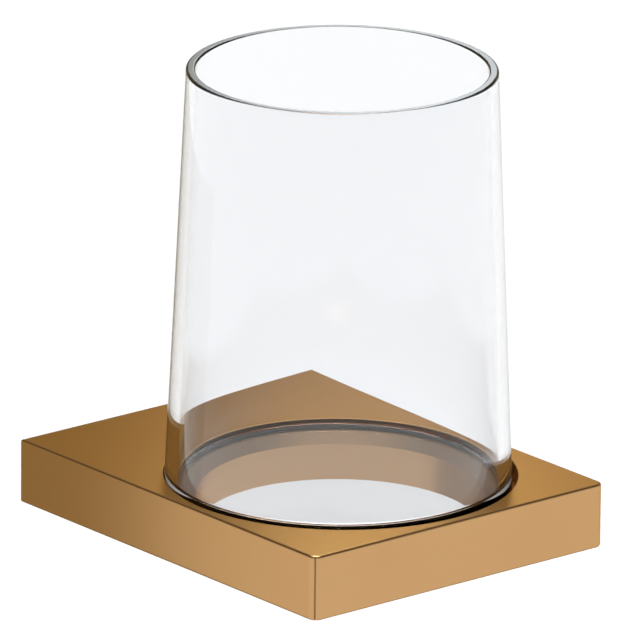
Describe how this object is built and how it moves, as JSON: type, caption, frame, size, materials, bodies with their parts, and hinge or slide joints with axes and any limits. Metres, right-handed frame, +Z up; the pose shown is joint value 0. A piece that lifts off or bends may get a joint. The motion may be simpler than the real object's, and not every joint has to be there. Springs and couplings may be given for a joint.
{
  "type": "wall tumbler holder",
  "caption": "Wall-mounted tumbler holder: a rectangular satin bronze slab with a round hole, holding a clear, tapered crystal tumbler.",
  "frame": {"origin": "on the wall plane, in the middle of the slab's wall face", "axes": "+X to the right of someone facing the wall, +Y into the wall, +Z up"},
  "size_m": [0.0864, 0.1074, 0.1125],
  "materials": {
    "bronze": "brushed satin",
    "crystal": "polished",
    "clear_silicone": "translucent",
    "stainless_plate": "satin",
    "stainless_turned": "turned"
  },
  "bodies": {
    "holder": {"holder_body": "bronze", "seat_ring": "clear_silicone", "wall_plate": "stainless_plate", "draw_stud_left": "stainless_turned", "draw_stud_right": "stainless_turned", "grub_screw_left": "stainless_turned", "grub_screw_right": "stainless_turned"},
    "tumbler": {"tumbler": "crystal"}
  },
  "joints": [
    {"name": "tumbler_lift", "type": "slide", "parent": "holder", "child": "tumbler", "axis": [0, 0, 1], "range_m": [0, 0.03]}
  ]
}
